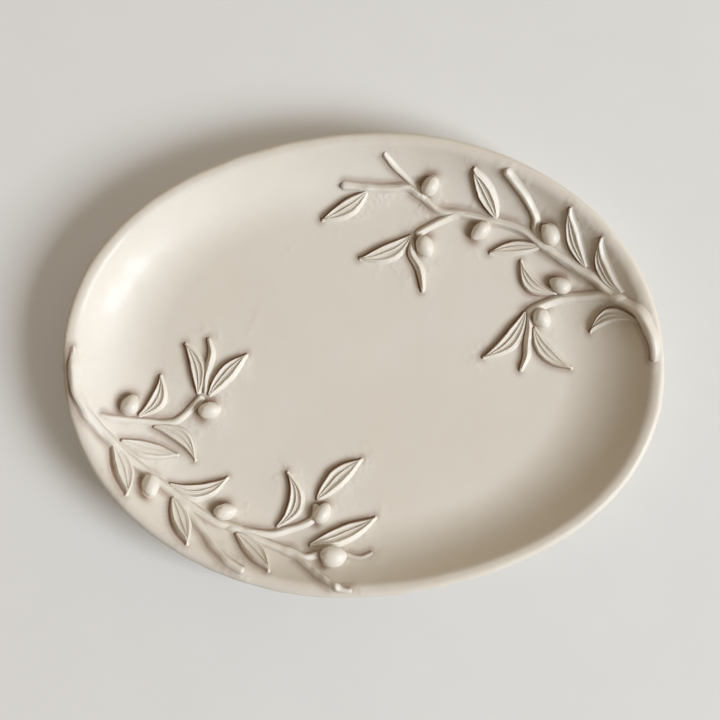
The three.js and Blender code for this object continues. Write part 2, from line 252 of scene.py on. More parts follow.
glaze, glaze_in, glaze_out = new_group(
    "fired_glaze",
    {label: "NodeSocketFloat" for label in GLAZE_MASKS},
    {"Color": "NodeSocketColor", "Roughness": "NodeSocketFloat", "Height": "NodeSocketFloat"},
)
glaze_place = glaze.nodes.new("ShaderNodeTexCoord").outputs["Object"]


def glaze_noise(waves, detail=2.0):
    inputs = {"Vector": glaze_place, "Scale": waves, "Detail": detail}
    return add_node(glaze, "ShaderNodeTexNoise", inputs).outputs["Fac"]


def glaze_dots(scale, channel, lowest, inner, outer, strength=1.0, favour=0.0):
    """A mask of round dots, in those cells whose random pick, with the favour added, is high enough."""
    cells = add_node(glaze, "ShaderNodeTexVoronoi", {"Vector": glaze_place, "Scale": scale})
    picks = add_node(glaze, "ShaderNodeSeparateColor", {"Color": cells.outputs["Color"]})
    pick = add_maths(glaze, "ADD", picks.outputs[channel], favour)
    here = add_maths(glaze, "GREATER_THAN", pick, lowest)
    dot = add_range(glaze, cells.outputs["Distance"], inner, outer, strength, 0.0)
    return add_maths(glaze, "MULTIPLY", here, dot)


print("glaze group:", glaze.name, "with masks", GLAZE_MASKS)

# %% Glaze colour
drift = add_range(glaze, glaze_noise(DRIFT_WAVES), 0.35, 0.7)
cloud = add_range(glaze, glaze_noise(CLOUD_WAVES, 4), 0.3, 0.75)
patchy = add_range(glaze, glaze_noise(PATCH_WAVES, 4), 0.3, 0.7, 0.5, 1.0)
drift_tint = add_maths(glaze, "MULTIPLY", drift, DRIFT_TINT)
cloud_tint = add_maths(glaze, "MULTIPLY", cloud, CLOUD_TINT)
warmth = add_maths(glaze, "ADD", drift_tint, cloud_tint)
body_colour = add_mix(glaze, warmth, CREAM, CREAM_WARM)
thin_patches = add_maths(glaze, "MULTIPLY", glaze_in["Thin"], patchy)
thin_share = add_maths(glaze, "MULTIPLY", thin_patches, THIN_TINT)
edge_colour = add_mix(glaze, thin_share, body_colour, BROKEN)
# Painted shade: the pool mask turns the colour brown, for gathered glaze and for shade beside steep
# sides.
pool_and_shade_patches = add_range(glaze, cloud, 0, 1, 0.85, 1.0)
pool_and_shade_share = add_maths(glaze, "MULTIPLY", glaze_in["Pool_and_shade"], pool_and_shade_patches)
seam_colour = add_mix(glaze, pool_and_shade_share, edge_colour, POOLED_AND_SHADED)
speckled_colour = add_mix(glaze, glaze_dots(*SPECKS), seam_colour, SPECK)
# Painted glints: white dots, more of them on the lip.
lip_favour = add_maths(glaze, "MULTIPLY", glaze_in["Thin"], LIP_GLINTS)
glint_mask = glaze_dots(*GLINT_DOTS, GLINT_STRENGTH, lip_favour)
glaze.links.new(add_mix(glaze, glint_mask, speckled_colour, GLINT), glaze_out["Color"])
print("glaze colour:", len(glaze.nodes), "nodes")

# %% Glaze surface
ripple = add_maths(glaze, "MULTIPLY", glaze_noise(RIPPLE_WAVES, 3), RIPPLE_HEIGHT)
worked_here = add_range(glaze, glaze_noise(WORKED_WAVES), 0.48, 0.62, 0.1, 1.0)
worked_share = add_maths(glaze, "MULTIPLY", glaze_in["Smear"], worked_here)
worked = add_maths(glaze, "MULTIPLY", worked_share, glaze_noise(BRISTLE_WAVES, 4))
brushed = add_maths(glaze, "ADD", ripple, add_maths(glaze, "MULTIPLY", worked, WORKED_HEIGHT))
pinholes = add_maths(glaze, "MULTIPLY", glaze_dots(*PINHOLES), PINHOLE_DEPTH)
glaze.links.new(add_maths(glaze, "SUBTRACT", brushed, pinholes), glaze_out["Height"])
glaze.links.new(add_range(glaze, cloud, 0, 1, *SATIN), glaze_out["Roughness"])
print("glaze colour and surface:", len(glaze.nodes), "nodes")

# %% [markdown]
# ## The materials
# The dish and the relief are under the same glaze, and differ in how strongly its surface ripples.
# The foot is wiped clean before firing, so it is bare clay: matt, sandy and a little pink. The
# table is plain pale paper, and a very faint glow that only the camera sees keeps it a pale
# background, also under the tray's shadow.

# %% Glazed and bare clay
GLAZE_SHINE = {"Specular IOR Level": 0.36, "Coat Weight": 0.1, "Coat Roughness": 0.2}
CLAY_PALE = (0.68, 0.55, 0.41, 1)
CLAY_DARK = (0.55, 0.43, 0.31, 1)
CLAY_GRAINS = 900
PAPER_PALE = (0.71, 0.70, 0.66, 1)
PAPER_DARK = (0.68, 0.67, 0.63, 1)
PAPER_CLOUDS = 25


def glazed(name, ripple_height):
    """A material under the shared glaze, which reads the masks that its piece carries."""
    material, tree, shader = new_material(name, GLAZE_SHINE)
    coat = add_node(tree, "ShaderNodeGroup", node_tree=glaze)
    for label in GLAZE_MASKS:
        mask = add_node(tree, "ShaderNodeAttribute", attribute_name=label.lower())
        tree.links.new(mask.outputs["Fac"], coat.inputs[label])
    bump = add_node(tree, "ShaderNodeBump", {"Height": coat.outputs["Height"], "Distance": ripple_height})
    tree.links.new(coat.outputs["Color"], shader.inputs["Base Color"])
    tree.links.new(coat.outputs["Roughness"], shader.inputs["Roughness"])
    tree.links.new(bump.outputs["Normal"], shader.inputs["Normal"])
    return material


def matt(name, pale, dark, grains, grain_height, roughness):
    """A dry surface whose grain shows in its colour and its bump."""
    material, tree, shader = new_material(name, {"Roughness": roughness})
    place = add_node(tree, "ShaderNodeTexCoord").outputs["Object"]
    grain = add_node(tree, "ShaderNodeTexNoise", {"Vector": place, "Scale": grains, "Detail": 5.0})
    tree.links.new(add_mix(tree, grain.outputs["Fac"], pale, dark), shader.inputs["Base Color"])
    bump = add_node(tree, "ShaderNodeBump", {"Height": grain.outputs["Fac"], "Distance": grain_height})
    tree.links.new(bump.outputs["Normal"], shader.inputs["Normal"])
    return material


dish_glaze = glazed("cream_glaze", ripple_height=0.35 * MM)
relief_glaze = glazed("relief_glaze", ripple_height=0.25 * MM)
bare_clay = matt("bare_clay", CLAY_PALE, CLAY_DARK, CLAY_GRAINS, grain_height=0.15 * MM, roughness=0.85)
paper = matt("table_paper", PAPER_PALE, PAPER_DARK, PAPER_CLOUDS, grain_height=0.02 * MM, roughness=0.9)
print("materials:", [material.name for material in (dish_glaze, relief_glaze, bare_clay, paper)])

# %% The paper's glow
PAPER_GLOW = 0.08

paper_shader = paper.node_tree.nodes["Principled BSDF"]
paper_shader.inputs["Emission Color"].default_value = ROOM_SEEN
paper_seen = add_node(paper.node_tree, "ShaderNodeLightPath").outputs["Is Camera Ray"]
paper_glow = add_maths(paper.node_tree, "MULTIPLY", paper_seen, PAPER_GLOW)
paper.node_tree.links.new(paper_glow, paper_shader.inputs["Emission Strength"])
print("paper glows by", PAPER_GLOW, "for the camera")

# %% [markdown]
# ## The table
# A plain pale sheet under the tray. It is staging, no part of the object.

# %% Table
TABLE_HALF = 1.6

table_mesh = bmesh.new()
bmesh.ops.create_grid(table_mesh, x_segments=2, y_segments=2, size=TABLE_HALF)
table_data = bpy.data.meshes.new("table")
table_mesh.to_mesh(table_data)
table_mesh.free()
table_data.materials.append(paper)
table = bpy.data.objects.new("table", table_data)
bpy.context.collection.objects.link(table)
print("table", 2 * TABLE_HALF, "m wide")

# %% [markdown]
# ## The dish's shape
# A potter would draw the dish in section: a flat floor, a cove that steepens up to the lip, the
# lip's rounded top, and the outer face coming back in under it. Spinning that section would give a
# round dish. So each ring of the spun mesh is then drawn out to the tray's own oval, a little
# squarer than an ellipse and fuller on one diagonal, as a line drawn by hand is. The heights come
# from the frame, and the plan sizes are the part's own.

# %% Dish sizes and its oval rings
HALF_LENGTH = 200 * MM
HALF_WIDTH = 155 * MM
FLOOR_HALF_LENGTH = 135 * MM
FLOOR_HALF_WIDTH = 105 * MM
BASE_MARGIN = 5 * MM
LIP = 7 * MM
LIP_ROLL = 10 * MM
WALL_SLOPE = math.radians(54)
INNER_SLOPE = math.radians(49)
FLOOR_THICKNESS = 8 * MM
SQUARENESS = 2.15
SKEW = 0.01
SKEW_BEARING = math.radians(-12)
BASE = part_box("foot_ring")[1].z
RIM_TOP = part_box("platter_body")[1].z
FLOOR = BASE + FLOOR_THICKNESS
BASE_HALF_LENGTH = FLOOR_HALF_LENGTH + BASE_MARGIN


def ring_half_width(half_length):
    """Half width of a ring: the floor has its own oval, and the lip is even all round."""
    lip_edge = HALF_LENGTH - LIP
    if half_length <= FLOOR_HALF_LENGTH:
        return half_length * FLOOR_HALF_WIDTH / FLOOR_HALF_LENGTH
    if half_length >= lip_edge:
        return HALF_WIDTH - HALF_LENGTH + half_length
    share = (half_length - FLOOR_HALF_LENGTH) / (lip_edge - FLOOR_HALF_LENGTH)
    return FLOOR_HALF_WIDTH + share * (HALF_WIDTH - LIP - FLOOR_HALF_WIDTH)


def ring_reach(bearing, half_length):
    """How far a ring reaches from the middle at a bearing."""
    along = abs(math.cos(bearing) / half_length) ** SQUARENESS
    across = abs(math.sin(bearing) / ring_half_width(half_length)) ** SQUARENESS
    fullness = 1 + SKEW * math.cos(4 * (bearing - SKEW_BEARING))
    return fullness * (along + across) ** (-1 / SQUARENESS)


print("rim top", round(RIM_TOP / MM, 1), "mm, floor", round(FLOOR / MM, 1), "mm")

# %% [markdown]
# The section is a short chain of vertices. Straight runs get evenly spaced points, the two faces of
# the wall are quadratic curves, and the lip is two arcs, since it rolls over into the dish more
# slowly than it turns under. The spin operator turns the chain round the Z axis. A full spin leaves
# its two ends on top of each other, and the ends of the chain on the axis are repeated once a step,
# so the doubles are merged before the normals are recalculated.

# %% Spinning and drawing out
MERGE_WITHIN = 0.001 * MM
TINY = 0.01 * MM


def wall_curve(top, slope, edge, level, steps):
    """Points of a wall's face, which leaves the lip at a slope and comes in level."""
    turn = Vector((top.x - (top.y - level) / math.tan(slope), level))
    foot = Vector((edge, level))
    shares = [i / steps for i in range(steps + 1)]
    return [(1 - t) ** 2 * top + 2 * t * (1 - t) * turn + t ** 2 * foot for t in shares]


def spun(section, steps, closed=False):
    """A bmesh turned from a section of (half length, height) points."""
    bm = bmesh.new()
    chain = [bm.verts.new((p[0], 0, p[1])) for p in section]
    pairs = list(zip(chain, chain[1:]))
    if closed:
        pairs.append((chain[-1], chain[0]))
    edges = [bm.edges.new(pair) for pair in pairs]
    full_turn = {"cent": (0, 0, 0), "axis": (0, 0, 1), "angle": math.tau, "steps": steps}
    bmesh.ops.spin(bm, geom=chain + edges, use_merge=True, **full_turn)
    bmesh.ops.remove_doubles(bm, verts=bm.verts, dist=MERGE_WITHIN)
    bmesh.ops.recalc_face_normals(bm, faces=bm.faces)
    return bm


def draw_out(bm):
    """Turns each round ring of a spun mesh into the tray's oval."""
    for vert in bm.verts:
        half_length = vert.co.to_2d().length
        if half_length > TINY:
            bearing = math.atan2(vert.co.y, vert.co.x)
            reach = ring_reach(bearing, half_length)
            vert.co.x = reach * math.cos(bearing)
            vert.co.y = reach * math.sin(bearing)


print("spinning merges points within", MERGE_WITHIN / MM, "mm")

# %% The dish's section
SPIN_STEPS = 400
FLOOR_STEPS = 92
WALL_STEPS = 44
LIP_STEPS = 9
OUTER_STEPS = 22

lip_centre = Vector((HALF_LENGTH - LIP / 2, RIM_TOP - LIP / 2))
roll_centre = Vector((lip_centre.x, RIM_TOP - LIP_ROLL))
under_turn = math.pi - WALL_SLOPE
under_angles = [WALL_SLOPE - math.pi / 2 + under_turn * i / LIP_STEPS for i in range(LIP_STEPS)]
roll_angles = [INNER_SLOPE * i / LIP_STEPS for i in range(LIP_STEPS + 1)]
lip_arc = [lip_centre + LIP / 2 * Vector((math.cos(a), math.sin(a))) for a in under_angles]
lip_arc += [roll_centre + LIP_ROLL * Vector((-math.sin(a), math.cos(a))) for a in roll_angles]
inner_face = wall_curve(lip_arc[-1], INNER_SLOPE, FLOOR_HALF_LENGTH, FLOOR, WALL_STEPS)
outer_face = wall_curve(lip_arc[0], WALL_SLOPE, BASE_HALF_LENGTH, BASE, OUTER_STEPS)
floor_line = [(FLOOR_HALF_LENGTH * (1 - i / FLOOR_STEPS), FLOOR) for i in range(1, FLOOR_STEPS + 1)]
base_line = [(0, BASE), (BASE_HALF_LENGTH / 2, BASE)]
dish_section = base_line + outer_face[::-1] + lip_arc[1:-1] + inner_face + floor_line
dish = spun(dish_section, SPIN_STEPS)
draw_out(dish)
print("dish:", len(dish.verts), "vertices")

# %% [markdown]
# Clay that is pressed and sponged by hand is never quite true. Slow noise lifts and lowers the rim
# by a fraction of a millimetre, and leaves the floor very slightly wavy, which is what bends the
# reflections in the glaze. The Thin mask goes on here too: glaze runs off the top of the lip.

# %% Hand-made unevenness
RIM_WANDER = 0.5 * MM
FLOOR_WANDER = 0.22 * MM
LIP_WANDER = 0.35 * MM
THIN_DEPTH = 0.8 * LIP


def slow_noise(place, size, seed=0.0):
    """Smooth noise from about -1 to 1 whose waves are about this long."""
    return noise.noise(place / size + Vector((seed, 2 * seed, 3 * seed)))


thin_mask = dish.verts.layers.float.new("thin")
for vert in dish.verts:
    flat = Vector((vert.co.x, vert.co.y, 0))
    climb = max(0.0, (vert.co.z - FLOOR) / (RIM_TOP - FLOOR))
    vert[thin_mask] = max(0.0, 1 - (RIM_TOP - vert.co.z) / THIN_DEPTH) ** 2
    if vert.co.z > BASE + TINY:
        vert.co.z += climb * RIM_WANDER * slow_noise(flat, 90 * MM, 1.7)
        vert.co.z += FLOOR_WANDER * slow_noise(flat, 45 * MM, 5.1)
        vert.co += climb * LIP_WANDER * slow_noise(vert.co, 16 * MM, 8.3) * flat.normalized()
dish.normal_update()
dish_tree = BVHTree.FromBMesh(dish)
print("highest point", round(max(v.co.z for v in dish.verts) / MM, 2), "mm")

# %% [markdown]
# ## Laying pieces on the dish
# Every piece of relief follows the dish under it. A ray dropped from above finds the dish at any
# place, and the slope between four more rays gives the direction straight off it. A piece is then
# shaped flat, as places seen from above with a lift, and draped: each point goes to its place on
# the dish and up by its lift. The operator that recalculates normals can take a pressed shape for
# its own inside, so a piece whose volume comes out negative is turned round.

# %% Draping
SLOPE_STEP = 2.5 * MM


def dish_height(x, y):
    hit = dish_tree.ray_cast(Vector((x, y, 1)), Vector((0, 0, -1)))[0]
    return hit.z if hit else RIM_TOP - LIP / 2


def draped(place, lift):
    """The point this far off the dish, over a place seen from above."""
    x, y = place.x, place.y
    steep_x = dish_height(x - SLOPE_STEP, y) - dish_height(x + SLOPE_STEP, y)
    steep_y = dish_height(x, y - SLOPE_STEP) - dish_height(x, y + SLOPE_STEP)
    off_dish = Vector((steep_x, steep_y, 2 * SLOPE_STEP)).normalized()
    return Vector((x, y, dish_height(x, y))) + lift * off_dish


def place_on(shares):
    """A place on the dish from its shares of the half length and the half width."""
    return Vector((shares[0] * HALF_LENGTH, shares[1] * HALF_WIDTH, 0))


def make_piece(bm, node, material, levels=0):
    """Turns a finished bmesh into the object that stands for a node."""
    bmesh.ops.recalc_face_normals(bm, faces=bm.faces)
    if bm.calc_volume(signed=True) < 0:
        bmesh.ops.reverse_faces(bm, faces=bm.faces)
    mesh = bpy.data.meshes.new(node + "_fine")
    bm.to_mesh(mesh)
    bm.free()
    mesh.shade_smooth()
    mesh.materials.append(material)
    piece = bpy.data.objects.new(node + "_fine", mesh)
    bpy.context.collection.objects.link(piece)
    if levels:
        smoother = piece.modifiers.new("smoother", "SUBSURF")
        smoother.levels = smoother.render_levels = levels
    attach(piece, "root")
    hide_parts(node)
    return piece


print("floor at the middle:", round(dish_height(0, 0) / MM, 2), "mm")

# %% [markdown]
# ## The foot
# Under the base runs a coil of clay, pressed flat where it stands and wiped bare. It is a spun ring
# like the dish, with its two lower corners rounded by a bevel before it is drawn out.

# %% Foot ring
FOOT_INSET = 14 * MM
FOOT_BAND = 10 * MM
FOOT_ROUND = 1.4 * MM
FOOT_STEPS = 160

foot_outer = BASE_HALF_LENGTH - FOOT_INSET
foot_inner = foot_outer - FOOT_BAND
foot_section = [(foot_inner, 0), (foot_outer, 0), (foot_outer, BASE), (foot_inner, BASE)]
foot = spun(foot_section, FOOT_STEPS, closed=True)
foot_corners = [
    edge for edge in foot.edges
    if max(vert.co.z for vert in edge.verts) < BASE / 2
    and abs(edge.verts[0].co.length - edge.verts[1].co.length) < TINY
]
rounding = {"offset": FOOT_ROUND, "segments": 4, "profile": 0.5, "affect": "EDGES", "material": -1}
bmesh.ops.bevel(foot, geom=foot_corners, **rounding)
draw_out(foot)
foot_piece = make_piece(foot, "foot_ring", bare_clay)
print("foot:", len(foot_piece.data.polygons), "faces")

# %% [markdown]
# ## Where the relief lies
# The two branches were laid on by eye, and their places are read off the dish as shares of its
# half length and half width. A stem has its path, and its widths at the two ends as shares of a
# middling stem's. An olive has its stalk end, the way it points in degrees, and its length and
# width as shares of a middling olive's. A leaf has the same, and how far its middle bows to the
# left as a share of its own length.

# %% Where the stems run
STEM_WIDTH = 5 * MM
STEMS = {
    "right_main_stem": ((1.45, 0.88), [
        (0.972, -0.045), (0.976, 0.02), (0.966, 0.082), (0.932, 0.181), (0.856, 0.262),
        (0.801, 0.338), (0.727, 0.404), (0.638, 0.492), (0.559, 0.574), (0.457, 0.622),
        (0.351, 0.659), (0.286, 0.672), (0.249, 0.704), (0.212, 0.755),
    ]),
    "left_main_stem": ((1.12, 0.8), [
        (-0.968, 0.115), (-0.973, 0.042), (-0.968, -0.071), (-0.94, -0.161), (-0.901, -0.233),
        (-0.862, -0.291), (-0.809, -0.367), (-0.726, -0.459), (-0.627, -0.564), (-0.527, -0.656),
        (-0.454, -0.692), (-0.367, -0.749), (-0.261, -0.813), (-0.221, -0.855), (-0.161, -0.921),
        (-0.103, -0.968), (-0.063, -0.974),
    ]),
    "right_twig_high": ((0.84, 0.52), [
        (0.243, 0.712), (0.219, 0.746), (0.188, 0.8), (0.134, 0.864), (0.092, 0.925),
    ]),
    "right_twig_left": ((0.9, 1.12), [
        (0.236, 0.722), (0.205, 0.759), (0.169, 0.784), (0.114, 0.781), (0.058, 0.784),
        (-0.059, 0.8),
    ]),
    "right_twig_low": ((0.96, 0.76), [
        (0.4, 0.643), (0.341, 0.658), (0.285, 0.631), (0.239, 0.602), (0.193, 0.572),
    ]),
    "right_twig_bud": ((0.68, 1.0), [
        (0.668, 0.462), (0.628, 0.508), (0.604, 0.568), (0.606, 0.623), (0.58, 0.692),
        (0.548, 0.752), (0.501, 0.826),
    ]),
    "right_twig_inner": ((1.4, 0.92), [
        (0.91, 0.21), (0.866, 0.25), (0.821, 0.266), (0.765, 0.268), (0.705, 0.266), (0.659, 0.257),
        (0.59, 0.222), (0.566, 0.196),
    ]),
    "left_twig_upper": ((0.52, 0.84), [
        (-0.893, -0.18), (-0.849, -0.196), (-0.761, -0.213), (-0.681, -0.223), (-0.629, -0.207),
        (-0.549, -0.109),
    ]),
    "left_twig_inner": ((0.92, 0.72), [
        (-0.5, -0.674), (-0.45, -0.698), (-0.4, -0.714), (-0.334, -0.725), (-0.277, -0.712),
        (-0.193, -0.671), (-0.177, -0.601),
    ]),
    "left_twig_long": ((0.76, 0.96), [
        (-0.66, -0.531), (-0.62, -0.592), (-0.575, -0.671), (-0.493, -0.812), (-0.451, -0.856),
        (-0.417, -0.88),
    ]),
    "left_twig_link": ((0.72, 0.68), [
        (-0.318, -0.78), (-0.276, -0.797), (-0.253, -0.809), (-0.217, -0.83), (-0.172, -0.819),
    ]),
    "left_twig_end": ((0.5, 0.36), [
        (-0.107, -0.801), (-0.071, -0.83), (-0.03, -0.838), (0.011, -0.819),
    ]),
}
print(len(STEMS), "stems")

# %% Where the olives lie
OLIVE_LENGTH = 15 * MM
OLIVE_WIDTH = 11 * MM
OLIVES = {
    "right_olive_top": ((0.23, 0.751), 54, 0.91, 1.05),
    "right_olive_low": ((0.208, 0.561), -64, 1, 1.09),
    "right_olive_stem": ((0.448, 0.615), -139, 1.07, 0.96),
    "right_olive_bud": ((0.674, 0.502), 119, 1.07, 0.98),
    "right_olive_arch": ((0.716, 0.299), 151, 1.01, 1),
    "right_olive_fan": ((0.598, 0.22), -62, 0.93, 1.05),
    "left_olive_shore": ((-0.818, -0.184), 59, 0.97, 1.13),
    "left_olive_fan": ((-0.567, -0.18), 5, 1.03, 1.02),
    "left_olive_wall": ((-0.741, -0.454), -79, 1.03, 1),
    "left_olive_floor": ((-0.525, -0.631), 8, 1.04, 0.98),
    "left_olive_high": ((-0.18, -0.682), 53, 1, 0.96),
    "left_olive_end": ((-0.169, -0.831), -6, 1.2, 1.13),
}
print(len(OLIVES), "olives")

# %% Where the leaves lie
LEAF_LENGTH = 40 * MM
LEAF_WIDTH = 11 * MM
LEAVES = {
    "right_leaf_far": ((0.035, 0.776), -149, 0.95, 1.05, 0.06),
    "right_leaf_low": ((0.182, 0.569), -158, 1, 1.09, 0.1),
    "right_leaf_curl": ((0.179, 0.559), -80, 0.97, 0.53, 0.03),
    "right_leaf_crown": ((0.475, 0.627), 115, 0.93, 1, -0.02),
    "right_leaf_flat": ((0.625, 0.5), -175, 0.91, 0.84, -0.05),
    "right_leaf_wall": ((0.769, 0.393), 106, 1.02, 0.78, 0.06),
    "right_leaf_rim": ((0.881, 0.267), 110, 1, 0.75, 0.12),
    "right_leaf_arched": ((0.669, 0.284), 134, 0.86, 0.87, 0.22),
    "right_leaf_under": ((0.928, 0.147), -170, 0.78, 0.93, -0.25),
    "right_leaf_fan_left": ((0.562, 0.213), -135, 1.1, 1, 0.12),
    "right_leaf_fan_middle": ((0.57, 0.204), -100, 1.01, 0.49, 0.04),
    "right_leaf_fan_right": ((0.585, 0.14), -49, 0.96, 0.91, -0.14),
    "left_leaf_shore": ((-0.769, -0.192), 61, 0.8, 0.96, -0.18),
    "left_leaf_fan_left": ((-0.566, -0.104), 103, 0.91, 0.91, -0.11),
    "left_leaf_fan_middle": ((-0.543, -0.101), 85, 0.96, 0.49, -0.04),
    "left_leaf_fan_right": ((-0.532, -0.11), 45, 0.97, 0.96, 0.04),
    "left_leaf_hook": ((-0.721, -0.236), -41, 0.94, 0.96, 0.17),
    "left_leaf_inner": ((-0.829, -0.298), -16, 0.99, 1, -0.04),
    "left_leaf_wall": ((-0.855, -0.313), -73, 0.91, 1.04, 0.05),
    "left_leaf_floor": ((-0.672, -0.497), 5, 1.01, 1, -0.18),
    "left_leaf_hang": ((-0.66, -0.551), -71, 0.85, 1.05, 0),
    "left_leaf_drop": ((-0.45, -0.717), -49, 0.86, 1.04, 0.04),
    "left_leaf_arched": ((-0.311, -0.7), 78, 0.97, 0.95, -0.24),
    "left_leaf_high": ((-0.175, -0.584), 40, 1.04, 1.09, 0.05),
    "left_leaf_long": ((-0.204, -0.783), 21, 1.23, 1.07, -0.04),
}
# The folded leaves, and how far each sways to its left in its first and its second half, as shares of
# its length.
FOLDED = {
    "right_leaf_curl": (-0.085, 0.0),
    "right_leaf_fan_middle": (0.02, 0.03),
    "left_leaf_fan_middle": (0.04, -0.045),
}
print(len(LEAVES), "leaves,", len(FOLDED), "of them folded")

# %% [markdown]
# ## The stems
# A stem is a roll of clay, pressed on until it is half round. One side was brushed down with slip
# and runs out softly into the dish, and the other was left steep, with a brown line in its seam:
# glaze gathers there, and the brown is also painted shade, since only the steep side has it. It
# starts as a sphere with many rings: its poles close the two ends, its rings are set out along the
# stem's path, and the lower half of each ring is pressed flat. A twig grows out of its stem, so it
# starts thin and low and rises to its full height, and there is a small knot wherever a twig, a
# leaf or an olive joins on. Uneven width, a slight weave from side to side and shallow grooves keep
# it from looking drawn out by machine. The left branch's stem starts smoothed into the wall and
# ends twisted and ragged.

# %% Helpers for the relief
BRUSHED_FROM = Vector((0.88, -0.47, 0))
CURVE_STEPS = 40
POOL_AND_SHADE_RISE = 1.2 * MM


def bump_at(value, middle, spread):
    """A smooth bump of height 1."""
    return math.exp(-(((value - middle) / spread) ** 2))


def eased(share):
    """A share that is clamped from 0 to 1 and starts and ends gently."""
    share = min(max(share, 0.0), 1.0)
    return share * share * (3 - 2 * share)


def between(low, high, share):
    return low + (high - low) * share


def crisp(outwards):
    """From 0 on the side of a piece that was brushed down to 1 on the side that was left steep."""
    return eased(0.5 - 0.6 * outwards.dot(BRUSHED_FROM))


def pooled_and_shaded(lift, outwards):
    """How much gathered glaze and painted shade there is at this height, on a steep side facing outwards.
    """
    return crisp(outwards) * max(0.0, 1 - max(lift, 0.0) / POOL_AND_SHADE_RISE)


def pointing(degrees):
    """Flat directions ahead and to the left of this turn."""
    turn = math.radians(degrees)
    ahead = Vector((math.cos(turn), math.sin(turn), 0))
    return ahead, Vector((-ahead.y, ahead.x, 0))


def smooth_line(points, count):
    """Evenly spaced (place, direction) pairs on a smooth curve through a few places, and its length."""
    ends = [points[0]] + points + [points[-1]]
    fine = []
    for before, start, end, after in zip(ends, ends[1:], ends[2:], ends[3:]):
        leaving = start + (end - before) / 6
        arriving = end - (after - start) / 6
        fine += interpolate_bezier(start, leaving, arriving, end, CURVE_STEPS)[:-1]
    fine.append(points[-1])
    runs = [0.0]
    for start, end in zip(fine, fine[1:]):
        runs.append(runs[-1] + (end - start).length)
    line = []
    piece = 0
    for i in range(count + 1):
        run = runs[-1] * i / count
        while piece < len(fine) - 2 and runs[piece + 1] < run:
            piece += 1
        ahead = (fine[piece + 1] - fine[piece]).normalized()
        line.append((fine[piece] + (run - runs[piece]) * ahead, ahead))
    return line, runs[-1]


def make_all(kind, maker, shapes, seed, step):
    """Makes every piece of a kind, each with a seed of its own, and prints how fine they are."""
    pieces = [maker(node, *shape, seed + step * i) for i, (node, shape) in enumerate(shapes.items())]
    print(kind, len(pieces), "with", sum(len(piece.data.polygons) for piece in pieces), "faces")
    return pieces


print("brushed down from", tuple(round(v, 2) for v in BRUSHED_FROM))

# %% Stem sizes
STEM_ROUNDNESS = 0.58
STEM_SIDES = 28
STEM_STEP = 0.9 * MM
FEWEST_RINGS = 12
STEM_BEDDING = 0.6 * MM
STEM_UNEVEN = 0.12
STEM_WEAVE = 0.35 * MM
STEM_GROOVE = 0.07
ON_AXIS = 1e-6
# Height and width at the start of a stem, as shares of its own, and the length over which it rises.
START = (0.3, 0.6)
START_SMOOTHED = (0.05, 0.2)
TWIG_RISE = 8 * MM
STEM_RISES = {"left_main_stem": 14 * MM, "right_main_stem": 18 * MM, "left_twig_upper": 18 * MM}
SMOOTHED_START = {"left_main_stem": 75 * MM}
# A ragged end's unevenness, and a tapered end's width and height, as shares.
RAGGED_END = {"left_main_stem": 48 * MM, "left_twig_end": 14 * MM}
RAGGED_WIDTH = 0.5
RAGGED_HEIGHT = 0.8
RAGGED_WEAVE = 0.5 * MM
TAPERED_END = {"right_main_stem": 16 * MM, "left_main_stem": 14 * MM, "left_twig_end": 24 * MM}
TAPERED_WIDTH = 0.7
TAPERED_HEIGHT = 0.55
KNOT_REACH = 3.2 * MM
KNOT_SWELL = 0.16
FILLET = 1.3 * MM
# The toe is a thin skirt of slip on a stem's steep side. It sinks into the dish at its seam.
TOE = 2.0 * MM
TOE_FROM = 0.76
TOE_RISE = 0.22 * MM
TOE_FADE = 0.3
SINK = 0.07 * MM

knots = [place_on(path[1] if "twig" in node else path[0]) for node, (widths, path) in STEMS.items()]
knots += [place_on(shape[0]) for shape in (*OLIVES.values(), *LEAVES.values())]
print(len(knots), "knots")

# %% Roll the stems
def stem_section(down, half_width, fillet, toe_length, steep):
    """How far out and how high a roll is, from 0 on its crest to 1 at its seam."""
    brushed_out = (half_width + fillet) * down
    brushed_height = (0.5 + 0.5 * math.cos(math.pi * down)) ** 1.25
    side = min(down / TOE_FROM, 1.0) * math.pi / 2
    toe = max(0.0, down - TOE_FROM) / (1 - TOE_FROM)
    steep_out = half_width * math.sin(side) + toe_length * toe
    return between(brushed_out, steep_out, steep), between(brushed_height, math.cos(side), steep)


